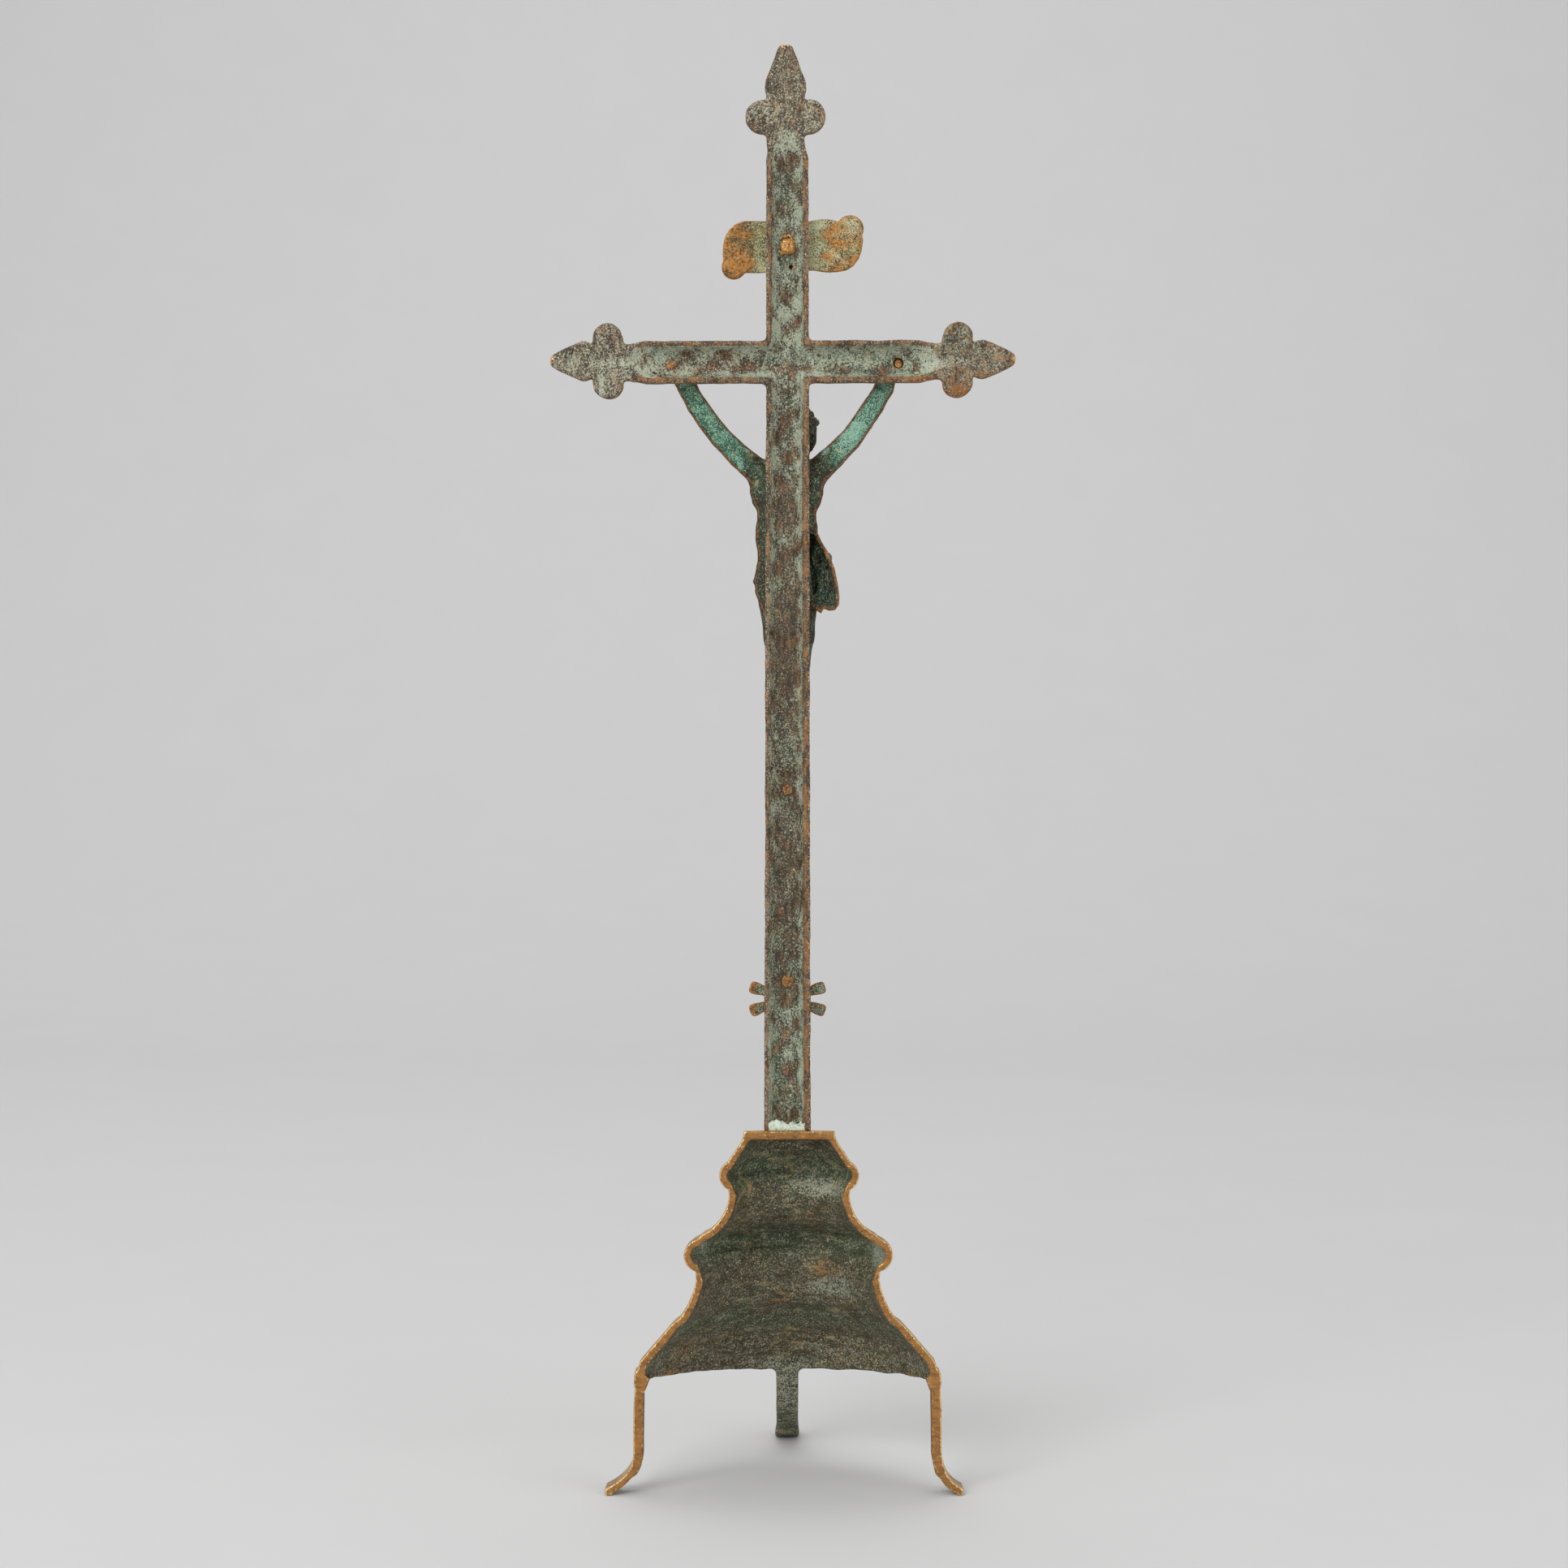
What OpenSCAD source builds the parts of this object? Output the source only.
// Standing altar crucifix of cast brass, built from hollow-backed castings and rivets.
// The front, with the figure, faces -Y, and the open back of cross and base faces +Y.
// The origin lies on the floor under the middle of the bounding box. Units are millimetres.

/* [Overall] */
// Height of the upper tip above the floor
total_h = 400; // [396:1:410]
// Depth from the open back to the tip of the front foot
base_depth = 69; // [68:0.5:72]

/* [Cross] */
// Height of the crossarm's centre line above the floor
arm_z = 312.9; // [308:0.1:316]
// Half the length of the crossarm, over its tips
arm_reach = 64.1; // [62:0.1:68]
// Half the height of the crossarm
arm_half = 5.8; // [5.6:0.1:6]
// Sideways offset of the crossarm's middle from the shaft, as cast
arm_shift = 1.3; // [0:0.1:2]
// Half the width of the shaft at its foot
shaft_foot_half = 6.4; // [6.2:0.1:6.6]
// Half the width of the shaft at its top
shaft_top_half = 5.75; // [5.6:0.05:6]
// Thickness of the cross from front to back
cross_t = 6; // [5.8:0.1:6.4]
// Width of the rim on each side of the hollow back
rim_w = 1.6; // [1.4:0.1:1.8]
// Distance of the cross behind the base's open edge
cross_inset = 2; // [1:0.1:2.5]

/* [Base] */
// Height of the top plate's rear edge above the floor
base_h = 100.9; // [100:0.1:102]
// Wall of the bell
wall = 2; // [1.6:0.1:2.2]
// Thickness of the top plate
plate_t = 2.1; // [1.8:0.1:2.4]
// Forward slope of the top plate, in degrees
plate_slope = 7; // [5:0.5:8]
// Height of the bell's lower rim at the open back
rim_z = 30.9; // [29:0.1:32]
// Forward slope of the lower rim, in degrees
rim_slope = 7; // [5:0.5:8]
// Width of a strap leg
leg_w = 7; // [6:0.1:7.5]
// Thickness of a strap leg
leg_t = 3.1; // [2.8:0.1:3.3]

/* [Fasteners] */
// Radius of the shank of a hand or foot nail
nail_r = 1.1; // [1:0.05:1.2]
// Radius of the shank of the scroll's and the skull's rivet
rivet_r = 1.3; // [1.2:0.05:1.4]

/* [Hidden] */

$fn = 48;
arc_steps = 9;
hull_fn = 18;
// The open back's plane, and the cross's back and front planes.
back_y = base_depth / 2;
cross_y = back_y - cross_inset;
front_y = cross_y - cross_t;
// The crossarm's tips are the widest points, so the box's middle lies under the arm's middle.
shaft_x = -arm_shift;
// The shaft runs from the top plate to the upper finial.
finial_len = 29.8;
shaft_top_z = total_h - finial_len;
arm_finial_len = 23.3;
arm_straight = arm_reach - arm_finial_len;
side_h = 3.4;
bevel = 2.2;
finial_t = cross_t - 0.6;
trough_foot_r = shaft_foot_half - rim_w;
trough_top_r = shaft_top_half - rim_w;
trough_arm_r = arm_half - rim_w;
// The tenon under the shaft fills a slot in the top plate.
tenon_w = 7;
tenon_d = 3;
tenon_front_y = front_y + 0.7;
// Places of the rivets, as [x, z].
left_hand = [32.4, 312.3];
right_hand = [-30.7, 312.9];
feet = [0, 194.8];
scroll_pin = [0, 345.1];
skull_pin = [0, 141.8];
loose_hole_r = 1.45;
// Scroll plate.
scroll_t = 1.6;
scroll_low_z = 338.3;
scroll_h = 14.4;
scroll_left = 17.9;
scroll_right = -21;
// Skull and crossbones.
skull_r = 5.1;
skull_z = 141.5;
skull_depth = 2.4;
bone_z = 136.7;
bone_r = 1.3;
bone_reach = 10.6;
bone_angle = 18;
blind_depth = 2.2;
// Mouldings of the bell, as [radius, height] of each arc's centre from the axis and the floor.
neck = [12.8, 98.6];
upper_torus = [15.1, 88.5];
upper_torus_r = 4.2;
cove = [29.8, 84.1];
cove_r = 13.2;
lower_torus = [24.3, 66.5];
lower_torus_r = 4.6;
flare = [51.5, 64.7];
flare_r = 26.7;
bead = [32, 47.4];
skirt = [[34.7, 44.3], [40.7, 37.2], [41.9, 33], [42.3, 29], [42.5, 20]];
plate_half = 12.65;
// Side legs: a straight drop, then an outward curl to the toe.
leg_out_x = 42.6;
curl_z = 11.8;
curl_r = 10.4;
curl_end = 240;
toe_x = 49.3;
// Front leg: one long sweep forward from the rim.
front_leg_y = 42.2;
sweep_r = 33;
sweep_z = 34.3;
sweep_end = 255;

function polar(centre, r, a) = [centre[0] + r * cos(a), centre[1] + r * sin(a)];
function arc(centre, r, a0, a1, n) = [for (i = [0:n]) polar(centre, r, a0 + (a1 - a0) * i / n)];
function inward(points, o) = [for (p = points) [p[0] - o, p[1] - o / 2]];
function trough_r(z) = trough_foot_r + (trough_top_r - trough_foot_r) * (z - base_h) / (shaft_top_z - base_h);

// The bell's profile from neck to skirt, moved in by o: 0 is the outer face, wall the inner one.
function bell_profile(o) = concat(
  [[neck[0] - o, neck[1]]],
  arc(upper_torus, upper_torus_r - o, 62, -64, arc_steps),
  arc(cove, cove_r + o, 184, 245, arc_steps),
  arc(lower_torus, lower_torus_r - o, 80, -75, arc_steps),
  arc(flare, flare_r + o, 191, 216, arc_steps),
  inward([bead], o),
  inward(skirt, o)
);

function reversed(points) = [for (i = [len(points) - 1:-1:0]) points[i]];

// Moves what is drawn about the shaft's own axis to the shaft's place.
module on_shaft() {
  translate([shaft_x, 0, 0]) children();
}

// Puts a flat shape drawn in X and Z upright, from y_back forward by depth.
module upright(y_back, depth) {
  translate([0, y_back, 0]) rotate([90, 0, 0]) linear_extrude(depth) children();
}

// A round bar along Y, from y0 forward to y1, at the place p = [x, z].
module bar(p, y0, y1, r) {
  translate([p[0], y0, p[1]]) rotate([90, 0, 0]) cylinder(h = y0 - y1, r = r);
}

// A tapered limb between two points, with round ends.
module limb(a, ra, b, rb) {
  d = b - a;
  translate(a) rotate([0, acos(d[2] / norm(d)), atan2(d[1], d[0])]) cylinder(h = norm(d), r1 = ra, r2 = rb);
  translate(a) sphere(r = ra);
  translate(b) sphere(r = rb);
}

// Cross section of shaft and arm: flat back at y = 0, bevelled front.
module bar_section(half) {
  polygon([[-half, 0], [half, 0], [half, -side_h], [half - bevel, -cross_t], [bevel - half, -cross_t],
           [-half, -side_h]]);
}

// One finial, drawn along +Y from the end of its bar: neck, two side lobes and a spear point.
module finial(length, lobe_at, notch_at, wide_at, neck_half, lobe_reach, lobe_r, wide_half, tip_half) {
  notch_half = wide_half - 0.8;
  neck_at = lobe_at - lobe_r;
  polygon([[-neck_half - 0.6, -0.5], [neck_half + 0.6, -0.5], [neck_half, 3], [neck_half, neck_at],
           [notch_half, notch_at], [wide_half, wide_at], [tip_half, length], [-tip_half, length],
           [-wide_half, wide_at], [-notch_half, notch_at], [-neck_half, neck_at], [-neck_half, 3]]);
  for (side = [-1, 1]) translate([side * (lobe_reach - lobe_r), lobe_at]) circle(r = lobe_r);
}

module top_finial() {
  translate([0, shaft_top_z]) finial(finial_len, 10, 14.9, 17.9, 5.2, 11.1, 4.6, 5.8, 1.7);
}

module arm_finial() {
  finial(arm_finial_len, 7.4, 12, 14.2, 5, 10.4, 4.2, 5.4, 0.9);
}

// Everything above the sloping top plate.
module above_plate() {
  translate([0, back_y, base_h]) rotate([plate_slope, 0, 0]) translate([-80, -120, 0]) cube([160, 220, 340]);
}

module shaft_blank() {
  intersection() {
    hull() {
      translate([0, cross_y, base_h - 3]) linear_extrude(0.1) bar_section(shaft_foot_half);
      translate([0, cross_y, shaft_top_z]) linear_extrude(0.1) bar_section(shaft_top_half);
    }
    above_plate();
  }
}

module arm_blank() {
  translate([arm_shift - arm_straight, cross_y, arm_z]) rotate([0, 90, 0]) linear_extrude(2 * arm_straight)
    bar_section(arm_half);
}

// The block in the top plate's slot. It ends at the plate's upper face.
module tenon() {
  difference() {
    translate([-tenon_w / 2, tenon_front_y, base_h - plate_t - 1]) cube([tenon_w, tenon_d, plate_t + 1.5]);
    above_plate();
  }
}

module cross() {
  on_shaft() color("peru") union() {
    tenon();
    difference() {
      union() {
        shaft_blank();
        arm_blank();
        upright(front_y + finial_t, finial_t) top_finial();
        for (side = [-1, 1])
          upright(front_y + finial_t, finial_t) translate([arm_shift + side * arm_straight, arm_z])
            rotate(-90 * side) arm_finial();
      }
      shaft_trough();
      arm_trough();
      pin_holes();
    }
  }
}

// The round hollow in the shaft's back, with a rounded upper end.
module shaft_trough() {
  translate([0, cross_y, base_h - 3])
    cylinder(h = shaft_top_z - base_h + 3, r1 = trough_foot_r, r2 = trough_top_r);
  translate([0, cross_y, shaft_top_z]) sphere(r = trough_top_r);
}

module arm_trough() {
  translate([arm_shift - arm_straight, cross_y, arm_z]) rotate([0, 90, 0])
    cylinder(h = 2 * arm_straight, r = trough_arm_r);
  for (side = [-1, 1])
    translate([arm_shift + side * arm_straight, cross_y, arm_z]) sphere(r = trough_arm_r);
}

// Shank holes through the web, with a round seat for each peened end.
module pin_holes() {
  for (p = [left_hand, feet]) {
    bar(p, cross_y, front_y - 1, nail_r);
    bar(p, cross_y, seat_y(p), 1.55);
  }
  bar(right_hand, cross_y, front_y - 1, loose_hole_r);
  bar(scroll_pin, cross_y, front_y - 1, rivet_r);
  bar(scroll_pin, cross_y, seat_y(scroll_pin), 2.15);
  bar(skull_pin, cross_y, front_y - 1, rivet_r);
  bar(skull_pin, cross_y, seat_y(skull_pin), 1.7);
}

// The floor of the hollow behind a pin.
function seat_y(p) = cross_y - (p[0] == 0 ? trough_r(p[1]) : trough_arm_r);

// Blank scroll: a plate with a small curl at two corners, and a roll on the front at each end.
module titulus() {
  y = front_y;
  on_shaft() color("darkgoldenrod") difference() {
    union() {
      upright(y, scroll_t) {
        translate([scroll_right + 4, scroll_low_z]) square([scroll_left - scroll_right - 8, scroll_h]);
        for (x = [scroll_right + 4, scroll_left - 4])
          for (z = [scroll_low_z + 4, scroll_low_z + scroll_h - 4])
            translate([x, z]) circle(r = 4);
        translate([scroll_right, scroll_low_z + 4]) square([8, scroll_h - 8]);
        translate([scroll_left - 8, scroll_low_z + 4]) square([8, scroll_h - 8]);
        translate([scroll_left - 3, scroll_low_z + 1.6]) circle(r = 3);
        translate([scroll_right + 3.6, scroll_low_z + scroll_h - 2.1]) circle(r = 3.4);
      }
      for (x = [scroll_right + 2.2, scroll_left - 2.2])
        translate([x, y - scroll_t, scroll_low_z + 2.5]) cylinder(h = scroll_h - 5, r = 1.5);
    }
    bar(scroll_pin, y + 1, y - scroll_t - 1, rivet_r);
  }
}

// A rivet: a flush or proud end in the hollow, a shank, and a low round head on the front.
module rivet(p, shank_r, end_r, end_h, head_r, head_y) {
  bar(p, seat_y(p) + end_h, seat_y(p), end_r);
  bar(p, seat_y(p), head_y, shank_r);
  bar(p, head_y, head_y - 0.8, head_r);
}

module titulus_rivet() {
  on_shaft() color("sandybrown") rivet(scroll_pin, rivet_r, 2.15, 0.9, 2.2, front_y - scroll_t);
}

hand_t = 2.4;
foot_t = 4.6;

// The figure: arms raised to the crossarm, body hanging in front of the shaft, hollow behind.
module corpus() {
  on_shaft() color("seagreen") difference() {
    union() {
      corpus_arm(1, left_hand, [18.5, 3.4, 292]);
      corpus_arm(-1, right_hand, [-20, 3.4, 295]);
      corpus_body();
      corpus_head();
    }
    translate([-60, front_y, 150]) cube([120, 40, 200]);
    hull() {
      translate([0, front_y + 1, 280]) sphere(r = 6.5, $fn = hull_fn);
      translate([0.3, front_y + 1.5, 252]) sphere(r = 5.5, $fn = hull_fn);
    }
    for (p = [left_hand, right_hand, feet]) bar(p, front_y + 5, front_y - 20, nail_r);
  }
}

// A soft limb between two points, each given as [x, depth before the cross, z].
module flesh(a, ra, b, rb) {
  hull() {
    ball(a, [ra, ra, ra]);
    ball(b, [rb, rb, rb]);
  }
}

module ball(p, size) {
  translate([p[0], front_y - p[1], p[2]]) scale(size / 10) sphere(r = 10, $fn = hull_fn);
}

module corpus_arm(side, hand, elbow) {
  shoulder = [side * 8.6, 4.2, 284.6];
  wrist = [hand[0] - side * 3, 1.4, hand[1] - 3.4];
  flesh(shoulder, 3.4, elbow, 2.8);
  flesh(elbow, 2.8, wrist, 2.2);
  flesh(wrist, 2.2, [hand[0], 0.4, hand[1]], 2.4);
}

module corpus_body() {
  hull() {
    ball([0, 4.6, 283.5], [9.6, 5.6, 4.5]);
    ball([0.2, 4.2, 268], [8, 4.6, 4]);
  }
  hull() {
    ball([0.2, 4.2, 268], [8, 4.6, 4]);
    ball([-0.6, 4.6, 255], [9.3, 5.2, 5]);
  }
  hull() {
    ball([-0.6, 4.6, 253], [9, 5, 5]);
    ball([0.2, 7.4, 224], [5.6, 4.2, 4.5]);
  }
  hull() {
    ball([0.2, 7.4, 224], [5.2, 4, 4.5]);
    ball([0, 2.6, 197], [3.6, 2.8, 4]);
  }
  flesh([0, 2, 195.5], 3.2, [0, 3.2, 189.6], 2.4);
  flesh([-10.2, 3.4, 258], 3, [-11.4, 2.6, 247.4], 2.8);
}

module corpus_head() {
  flesh([-1, 5, 286], 3, [-2.6, 7.4, 292], 2.8);
  flesh([-3.2, 8.6, 293.5], 4.2, [-3.4, 7.8, 298.6], 5.4);
}

// The end of a nail's head on the figure.
module nail(p, depth) {
  on_shaft() color("rosybrown") rivet(p, nail_r, 1.55, 0.7, 1.7, front_y - depth);
}

module nail_left_hand() {
  nail(left_hand, hand_t + 0.6);
}

// The loose pin lies back in its wider hole.
module nail_right_hand() {
  pin_end_y = seat_y(right_hand) - 0.9;
  on_shaft() color("rosybrown") {
    bar(right_hand, pin_end_y, front_y - hand_t - 0.6, nail_r);
    bar(right_hand, front_y - hand_t - 0.6, front_y - hand_t - 1.4, 1.7);
  }
}

module nail_feet() {
  nail(feet, foot_t + 1);
}

module bone(angle) {
  y = front_y - bone_r;
  centre = [0, y, bone_z];
  reach = [bone_reach * cos(angle), 0, bone_reach * sin(angle)];
  limb(centre - reach, bone_r, centre + reach, bone_r);
  for (side = [-1, 1])
    for (spread = [-0.7, 0.7])
      translate(centre + side * reach + [-spread * sin(angle), 0, spread * cos(angle)]) sphere(r = bone_r);
}

// Skull over two crossed bones. The back is flat against the shaft.
module skull_and_crossbones() {
  on_shaft() color("olivedrab") difference() {
    union() {
      bone(bone_angle);
      bone(-bone_angle);
      translate([0, front_y - skull_depth, skull_z]) sphere(r = skull_r);
      translate([-2.9, front_y - 5.6, skull_z - 6.6]) cube([5.8, 5.6, 4]);
    }
    translate([-30, front_y, skull_z - 30]) cube([60, 20, 60]);
    for (side = [-1, 1]) translate([side * 1.9, front_y - 7.2, skull_z - 0.8]) sphere(r = 1.35);
    bar(skull_pin, front_y + 1, front_y - blind_depth, rivet_r);
  }
}

module skull_rivet() {
  on_shaft() color("darkkhaki") {
    bar(skull_pin, seat_y(skull_pin) + 0.8, seat_y(skull_pin), 1.7);
    bar(skull_pin, seat_y(skull_pin), front_y - blind_depth, rivet_r);
  }
}

// Half-bell, closed at the top and open at the back and below.
module bell() {
  outer = bell_profile(0);
  inner = bell_profile(wall);
  difference() {
    translate([0, back_y, 0]) rotate([0, 0, 180]) rotate_extrude(angle = 180, $fn = 96)
      polygon(concat(outer, reversed(inner)));
    translate([0, back_y, rim_z]) rotate([rim_slope, 0, 0]) translate([-80, -90, -60]) cube([160, 110, 60]);
  }
}

// Top plate with its two front corners cut off, sloping down to the front.
module top_plate() {
  difference() {
    translate([0, back_y, base_h - plate_t - 1.4]) linear_extrude(plate_t + 1.4)
      polygon([[-plate_half, 0], [plate_half, 0], [plate_half, -6], [7.5, -plate_half],
               [-7.5, -plate_half], [-plate_half, -6]]);
    above_plate();
    translate([0, back_y, base_h - plate_t]) rotate([plate_slope, 0, 0]) translate([-10.6, -10.6, -10])
      cube([21.2, 12, 10]);
    tenon();
  }
}

// Outline of a side leg in X and Z, from inside the skirt down to the toe.
module side_leg_outline() {
  centre = [leg_out_x + curl_r, curl_z];
  polygon(concat(
    [[leg_out_x - 0.7, rim_z + 3], [leg_out_x, curl_z + 12]],
    arc(centre, curl_r, 180, curl_end, arc_steps),
    [[toe_x, 1.9], [toe_x, 0.6], [toe_x - 0.7, 0]],
    reversed(arc(centre, curl_r + leg_t, 180, 242, arc_steps)),
    [[leg_out_x - leg_t, rim_z - 3], [leg_out_x - leg_t - 1.6, rim_z + 1.4]]
  ));
}

// Outline of the front leg in depth and height.
module front_leg_outline() {
  centre = [front_leg_y + sweep_r, sweep_z];
  polygon(concat(
    arc(centre, sweep_r, 184, sweep_end, arc_steps),
    [[base_depth, 1.9], [base_depth, 0.6], [base_depth - 0.6, 0]],
    reversed(arc(centre, sweep_r + leg_t, 184, 254, arc_steps))
  ));
}

module above_floor() {
  translate([-100, -100, 0]) cube([200, 200, 200]);
}

module base_shell() {
  on_shaft() color("darkgoldenrod") union() {
    bell();
    top_plate();
    intersection() {
      for (side = [0, 1]) mirror([side, 0, 0]) upright(back_y, leg_w) side_leg_outline();
      above_floor();
    }
    intersection() {
      translate([leg_w / 2, back_y, 0]) rotate([90, 0, -90]) linear_extrude(leg_w) front_leg_outline();
      above_floor();
    }
  }
}

// Solder in the hollow at the shaft's foot, cut to the plate's slope.
module solder_seam() {
  on_shaft() color("lightcyan") intersection() {
    difference() {
      translate([0, cross_y, base_h - 3]) cylinder(h = 5.4, r = trough_foot_r - 0.05);
      translate([-20, cross_y, 90]) cube([40, 20, 30]);
    }
    above_plate();
  }
}

cross();
titulus();
titulus_rivet();
corpus();
nail_left_hand();
nail_right_hand();
nail_feet();
skull_and_crossbones();
skull_rivet();
base_shell();
solder_seam();
